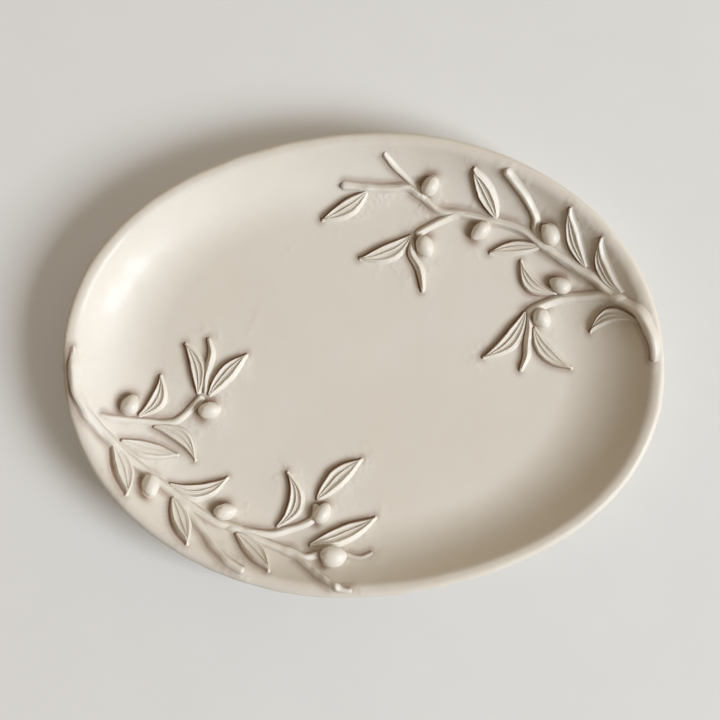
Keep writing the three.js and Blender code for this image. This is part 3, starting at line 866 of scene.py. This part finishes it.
def roll_stem(node, widths, path, seed):
    points = [place_on(shares) for shares in path]
    rings = max(FEWEST_RINGS, round(smooth_line(points, 1)[1] / STEM_STEP))
    line, length = smooth_line(points, rings)
    start_height, start_width = START_SMOOTHED if node in SMOOTHED_START else START
    bm = bmesh.new()
    bmesh.ops.create_uvsphere(bm, u_segments=STEM_SIDES, v_segments=rings, radius=1)
    pool_and_shade = bm.verts.layers.float.new("pool_and_shade")
    for vert in bm.verts:
        ring = round(math.acos(max(-1.0, min(1.0, vert.co.z))) / math.pi * rings)
        place, ahead = line[ring]
        aside = Vector((ahead.y, -ahead.x, 0))
        run = length * ring / rings
        to_go = length - run
        along = Vector((run, 0, 0))
        # How the stem changes along its length.
        rise = eased(run / STEM_RISES.get(node, TWIG_RISE))
        smoothed = 1 - eased(run / SMOOTHED_START[node]) if node in SMOOTHED_START else 0
        taper = eased(to_go / TAPERED_END[node]) if node in TAPERED_END else 1
        to_ragged = to_go / RAGGED_END[node] if node in RAGGED_END else 1
        ragged = eased(1 - to_ragged) * eased(4 * to_ragged)
        knot = min(1.0, sum(bump_at((place - other).length, 0, KNOT_REACH) for other in knots))
        width = STEM_WIDTH * between(*widths, ring / rings)
        width *= between(start_width, 1, rise) * between(TAPERED_WIDTH, 1, taper)
        width *= 1 + KNOT_SWELL * knot + STEM_UNEVEN * slow_noise(along, 8 * MM, seed)
        width *= 1 + RAGGED_WIDTH * ragged * slow_noise(along, 4.5 * MM, seed + 6)
        from_end = min(run, to_go, width / 2) / (width / 2)
        fullness = math.sqrt(1 - (1 - from_end) ** 2)
        weave = (STEM_WEAVE + RAGGED_WEAVE * ragged) * slow_noise(along, 13 * MM, seed + 2)
        # How it changes round its section.
        spoke = vert.co.to_2d()
        spoke = spoke.normalized() if spoke.length > ON_AXIS else Vector((0, 0))
        side = math.copysign(1, spoke.x)
        outwards = side * aside
        angle = math.atan2(spoke.y, spoke.x)
        twist = 5 * slow_noise(along, 22 * MM, seed + 4)
        twist += 4 * ragged * slow_noise(along, 9 * MM, seed + 9)
        grooves = 1 + STEM_GROOVE * (math.cos(4 * angle + twist) + 0.5 * math.cos(9 * angle - twist))
        half_width = width / 2 * fullness * grooves
        down = math.atan2(abs(spoke.x), max(spoke.y, 0.0)) / (math.pi / 2)
        at_seam = down ** 8
        fillet = FILLET * (1 + 2 * smoothed * rise) * fullness
        out, height = stem_section(down, half_width, fillet, TOE * fullness, crisp(outwards))
        lift = 2 * STEM_ROUNDNESS * half_width * height
        lift *= between(start_height, 1, rise) * between(TAPERED_HEIGHT, 1, taper)
        lift *= 1 + RAGGED_HEIGHT * ragged * slow_noise(along, 5 * MM, seed + 8)
        lift += TOE_RISE * crisp(outwards) * eased(down / TOE_FROM) - (SINK + TOE_RISE) * at_seam
        if spoke.y < 0:
            out *= abs(spoke.x)
            lift = STEM_BEDDING * spoke.y - SINK
        vert.co = draped(place + (side * out + weave) * aside, lift)
        # Gathered glaze and painted shade, only on the steep side, a little less right at the seam.
        vert[pool_and_shade] = pooled_and_shaded(lift, outwards) * (1 - TOE_FADE * at_seam)
    return make_piece(bm, node, relief_glaze, levels=1)


relief = make_all("stems", roll_stem, STEMS, seed=10.0, step=3)

# %% [markdown]
# ## The olives
# An olive is moulded whole and set in a bed of slip. A sphere is drawn out to an egg that narrows
# to a soft point, with the shallow ring that a stalk leaves at its other end, and pressed flat
# underneath where it sits. Like the stems it is brushed down on one side, and scraped to a slight
# facet on the other.

# %% Mould the olives
OLIVE_SIDES = 36
OLIVE_RINGS = 26
OLIVE_SHOWING = 0.78
OLIVE_NARROWING = 0.10
OLIVE_UNEVEN = 0.04
OLIVE_BEDDING = 0.6 * MM
OLIVE_BED = 3.6 * MM
OLIVE_TOE = 1.9 * MM
OLIVE_TIP = 0.05
TIP_FROM = 0.75
STALK_RING = -0.86
STALK_SEAM = -0.88
STALK_SPREAD = 0.06
STALK_DEPTH = 0.06
STALK_POOL = 0.2
OLIVE_FACET = 0.11
FACET_EDGE = 0.025


def mould_olive(node, root, turn, long, wide, seed):
    length = long * OLIVE_LENGTH
    width = wide * OLIVE_WIDTH
    ahead, aside = pointing(turn)
    middle = place_on(root) + length / 2 * ahead
    bm = bmesh.new()
    bmesh.ops.create_uvsphere(bm, u_segments=OLIVE_SIDES, v_segments=OLIVE_RINGS, radius=1)
    pool_and_shade = bm.verts.layers.float.new("pool_and_shade")
    for vert in bm.verts:
        along, up_share, side = vert.co.z, vert.co.x, vert.co.y
        narrow = 1 - OLIVE_NARROWING * along - STALK_DEPTH * bump_at(along, STALK_RING, STALK_SPREAD)
        narrow *= 1 + OLIVE_UNEVEN * slow_noise(vert.co, 0.8, seed)
        tip = OLIVE_TIP * max(0.0, along - TIP_FROM) / (1 - TIP_FROM)
        plan = side * aside + along * ahead
        scraped = -plan.dot(BRUSHED_FROM) + 0.1 * slow_noise(vert.co, 0.9, seed + 3)
        facet = OLIVE_FACET * eased((scraped - 0.45) / 0.35)
        narrow *= 1 + FACET_EDGE * bump_at(scraped, 0.42, 0.1) - facet
        lift = (OLIVE_SHOWING - 0.5 + 0.5 * narrow * up_share) * width
        bed = max(0.0, 1 - max(lift, 0.0) / OLIVE_BED)
        outwards = plan.normalized()
        fillet = FILLET * (1.2 - crisp(outwards)) + OLIVE_TOE * crisp(outwards) * bed ** 6
        place = middle + (along + tip) * length / 2 * ahead + side * width / 2 * narrow * aside
        place += fillet * bed ** 4 * outwards
        vert.co = draped(place, max(lift, -OLIVE_BEDDING))
        # Gathered glaze and painted shade on the olive's steep side, and glaze in its stalk ring.
        vert[pool_and_shade] = pooled_and_shaded(lift, outwards) + STALK_POOL * bump_at(along, STALK_SEAM, STALK_SPREAD)
    return make_piece(bm, node, relief_glaze, levels=1)


olives = make_all("olives", mould_olive, OLIVES, seed=60.0, step=1)
relief += olives

# %% [markdown]
# ## The leaves
# A leaf is cut from a thin sheet and pressed with a tool: its edges stand up as a rounded bead, two
# deep hollows lie between them and the rib, a line runs along each side of the rib and finer ones
# along the hollows. It starts as a flat grid, which has room for all those lines. Its rim is
# extruded seven times, for the rounded shoulder, the sloping side, a fillet of slip and a hem that
# sinks into the dish, and the hole underneath is filled. Only then does every point get its place
# along the leaf's bowed middle line and its lift off the dish. Each leaf leans a little to one
# side, and its tip lifts. A folded leaf stands on its edge, sways from side to side, is blunt at
# its end and shows one ridge.

# %% Leaf sizes
LEAF_RISE = 3.8 * MM
LOW_LEAVES = {
    "right_leaf_wall": 0.68,
    "right_leaf_rim": 0.68,
    "left_leaf_hook": 0.75,
    "left_leaf_inner": 0.75,
}
LEAF_BASE_SHARE = 0.45
LEAF_TIP_SHARE = 0.85
LEAF_STALK = 2.6 * MM
LEAF_POINT = 0.9 * MM
LEAF_NOSE = 3.0 * MM
FOLDED_POINT = 3.0 * MM
FOLDED_SIDE = 0.65
LEAF_STEPS = 52
LEAF_ROWS = 40
LEAF_SHOULDER = 0.85 * MM
LEAF_CREST = 0.5 * MM
LEAF_STREAK = 0.06
LEAF_LEAN = 0.22
AT_END = 0.499
# Each tier of a leaf's side: how far out it stands, how much further on its steep side, its lift as a
# share of the edge's and plain, and its gathered glaze and painted shade, kept on the steep side.
LEAF_SIDE = [
    (0.30 * MM, 0, 0.90, 0, 0),
    (0.70 * MM, 0, 0.63, 0, 0),
    (1.10 * MM, 0, 0.32, 0, 0.4),
    (1.50 * MM, 0, 0.10, 0, 1.0),
    (2.00 * MM, 0.6 * MM, 0, 0.20 * MM, 1.0),
    (2.40 * MM, 1.4 * MM, 0, -0.06 * MM, 0.6),
    (2.50 * MM, 1.4 * MM, 0, -0.8 * MM, 0.6),
]


def flat_section(across, rib):
    """Height and pool across a flat leaf, from -1 to 1, as shares of the height of its edges."""
    bead = 0.40 * bump_at(abs(across), 1.0, 0.32)
    middle = 0.30 * bump_at(across, rib, 0.2)
    lines = bump_at(abs(across - rib), 0.17, 0.055)
    veins = bump_at(abs(across - rib), 0.42, 0.05) + bump_at(abs(across - rib), 0.62, 0.045)
    return 0.60 + bead + middle - 0.17 * lines - 0.08 * veins, 0.28 * lines + 0.10 * veins


def folded_section(across, rib):
    """The same for a folded leaf, whose ridge is off its middle."""
    ridge = 0.75 * bump_at(across, 0.2 + rib, 0.6)
    line = bump_at(across, rib - 0.45, 0.08)
    return 0.38 + ridge - 0.10 * line, 0.25 * line


print("a leaf's side has", len(LEAF_SIDE), "tiers")

# %% Press the leaves
def leaf_blank():
    """A flat grid with its rim extruded once for each tier and its underside filled."""
    bm = bmesh.new()
    bmesh.ops.create_grid(bm, x_segments=LEAF_STEPS, y_segments=LEAF_ROWS, size=0.5)
    tier = bm.verts.layers.int.new("tier")
    pool_and_shade = bm.verts.layers.float.new("pool_and_shade")
    for number in range(1, len(LEAF_SIDE) + 1):
        hem = bmesh.ops.extrude_edge_only(bm, edges=[e for e in bm.edges if e.is_boundary])
        for made in hem["geom"]:
            if isinstance(made, bmesh.types.BMVert):
                made[tier] = number
    underside = bmesh.ops.holes_fill(bm, edges=[e for e in bm.edges if e.is_boundary], sides=0)
    bmesh.ops.triangulate(bm, faces=underside["faces"])
    return bm, tier, pool_and_shade


def press_leaf(node, root, turn, long, wide, bow, seed):
    length = long * LEAF_LENGTH
    width = wide * LEAF_WIDTH
    ahead, aside = pointing(turn)
    folded = node in FOLDED
    section = folded_section if folded else flat_section
    point = FOLDED_POINT if folded else LEAF_POINT
    side_out = FOLDED_SIDE if folded else 1
    section_way = math.copysign(1, aside.dot(BRUSHED_FROM)) if folded else 1
    sway = FOLDED.get(node, (0, 0))
    rise = LEAF_RISE * LOW_LEAVES.get(node, 1)
    rib_place = 0.14 * slow_noise(Vector((seed, 0, 0)), 1.0)
    lean = LEAF_LEAN * slow_noise(Vector((0, seed, 0)), 1.0)
    fullest = 1 + 0.25 * slow_noise(Vector((0, 0, seed)), 1.0)
    bm, tier, pool_and_shade = leaf_blank()
    for vert in bm.verts:
        x, y = vert.co.x, vert.co.y
        share = min(max(x + 0.5, 0.0), 1.0)
        along = Vector((share * length, 0, 0))
        edge = along + Vector((0, 0, y * MM))
        # The leaf's outline.
        swell = math.sin(math.pi * share ** fullest)
        full_width = between(LEAF_STALK, point, share) + swell * (width - LEAF_STALK)
        full_width *= 1 + 0.07 * swell * slow_noise(edge, 9 * MM, seed)
        full_width *= 1 + 0.04 * swell * slow_noise(edge, 3.5 * MM, seed + 12)
        top_width = max(full_width - 2 * LEAF_SHOULDER, LEAF_CREST)
        bowed = bow * 4 * share * (1 - share) + 0.02 * swell * slow_noise(along, 20 * MM, seed + 9)
        bowed += sway[0] * bump_at(share, 0.27, 0.2) + sway[1] * bump_at(share, 0.75, 0.17)
        place = place_on(root) + (share * length - 2 * x * LEAF_SHOULDER) * ahead
        place += (bowed * length + y * top_width) * aside
        # Its top, with the rib, the hollows and the lines.
        rib = rib_place + 0.10 * slow_noise(along, 15 * MM, seed + 3)
        height, groove = section(2 * y * section_way, rib)
        height += LEAF_STREAK * slow_noise(Vector((3.5 * share, 12 * y, seed)), 1.0)
        fade = swell ** 0.6
        ends = between(LEAF_BASE_SHARE, LEAF_TIP_SHARE, eased(share))
        lift = rise * between(ends, height, fade) * (1 + 2 * y * lean * fade)
        lift *= 1 + 0.12 * slow_noise(along + Vector((0, y * width, 0)), 12 * MM, seed + 6)
        lift *= 0.5 + 0.5 * eased((1 - share) * length / LEAF_NOSE)
        pool_and_shade_here = groove * fade
        # Its side, tier by tier.
        if vert[tier]:
            out, toe, lift_share, plain_lift, pool_and_shade_here = LEAF_SIDE[vert[tier] - 1]
            round_end = math.pi * y if abs(x) > AT_END else math.copysign(math.pi / 2, y)
            outwards = math.copysign(math.cos(round_end), x) * ahead + math.sin(round_end) * aside
            steep = crisp(outwards)
            out *= side_out * (1.2 - 0.7 * steep) * (0.6 + 0.4 * fade)
            place += (out + toe * steep) * outwards
            lift = lift * lift_share + plain_lift
            # Painted shade: only the steep side's tiers keep their brown.
            pool_and_shade_here *= steep
        vert.co = draped(place, lift)
        vert[pool_and_shade] = pool_and_shade_here
    return make_piece(bm, node, relief_glaze, levels=1)


relief += make_all("leaves", press_leaf, LEAVES, seed=90.0, step=5)

# %% [markdown]
# ## Seams and smears on the dish
# Beside a piece's steep side the dish is tinted brown by the glaze that gathers there, and the
# brown is also painted shade, most of all behind the olives, where their shadows fall. For a
# finger's breadth around every piece the slip was worked with a brush and is not quite smooth. Both
# depend on how near the relief is, so the dish's masks are painted last, from the distance between
# each of its vertices and the relief: the seams that already hold glaze and painted shade for the
# tint, and the whole of it for the brushwork. One long brush streak crosses the floor beside the
# left branch.

# %% Paint the dish's masks
SEAM_REACH = 2.4 * MM
# Brown beside steep sides, gathered glaze and painted shade; behind the olives, their painted shadow.
SEAM_POOL_AND_SHADE = 0.45
SEAM_FROM = 0.4
OLIVE_SEAM_REACH = 4.2 * MM
OLIVE_SHADOW_AND_POOL = 0.85
SMEAR_REACH = 9 * MM
STREAK = (place_on((-0.39, 0.15)), place_on((-0.236, 0.546)))
STREAK_REACH = 3 * MM
STREAK_SMEAR = 0.4


def surface_of(pieces, from_pool_and_shade=-1.0):
    """A tree of the pieces' upper faces, or of those whose glaze and painted shade are above this."""
    corners = []
    faces = []
    for piece in pieces:
        start = len(corners)
        pool_and_shade_values = piece.data.attributes["pool_and_shade"].data
        corners += [vert.co.copy() for vert in piece.data.vertices]
        faces += [
            [start + corner for corner in face.vertices] for face in piece.data.polygons
            if face.normal.z > 0 and min(pool_and_shade_values[corner].value for corner in face.vertices) > from_pool_and_shade
        ]
    return BVHTree.FromPolygons(corners, faces)


def nearness(tree, spot, reach):
    """From 1 at a tree's faces to 0 a few reaches away."""
    near = tree.find_nearest(spot, 4 * reach)[3]
    return 0.0 if near is None else bump_at(near, 0, reach)


relief_tree = surface_of(relief)
seam_tree = surface_of(relief, SEAM_FROM)
olive_tree = surface_of(olives, SEAM_FROM)
pool_and_shade_mask = dish.verts.layers.float.new("pool_and_shade")
smear_mask = dish.verts.layers.float.new("smear")
for vert in dish.verts:
    if vert.co.z > FLOOR - MM:
        # Painted shade: brown beside the steep sides that hold it, widest behind the olives.
        beside_relief = SEAM_POOL_AND_SHADE * nearness(seam_tree, vert.co, SEAM_REACH)
        beside_olive = OLIVE_SHADOW_AND_POOL * nearness(olive_tree, vert.co, OLIVE_SEAM_REACH)
        vert[pool_and_shade_mask] = max(beside_relief, beside_olive)
        vert[smear_mask] = nearness(relief_tree, vert.co, SMEAR_REACH)
        flat = vert.co.to_2d().to_3d()
        on_streak, share = intersect_point_line(flat, *STREAK)
        if 0 < share < 1:
            streak = STREAK_SMEAR * bump_at((on_streak - flat).length, 0, STREAK_REACH)
            vert[smear_mask] = max(vert[smear_mask], streak)
dish_piece = make_piece(dish, "platter_body", dish_glaze)
print("dish:", len(dish_piece.data.polygons), "faces, with", len(relief), "pieces of relief")
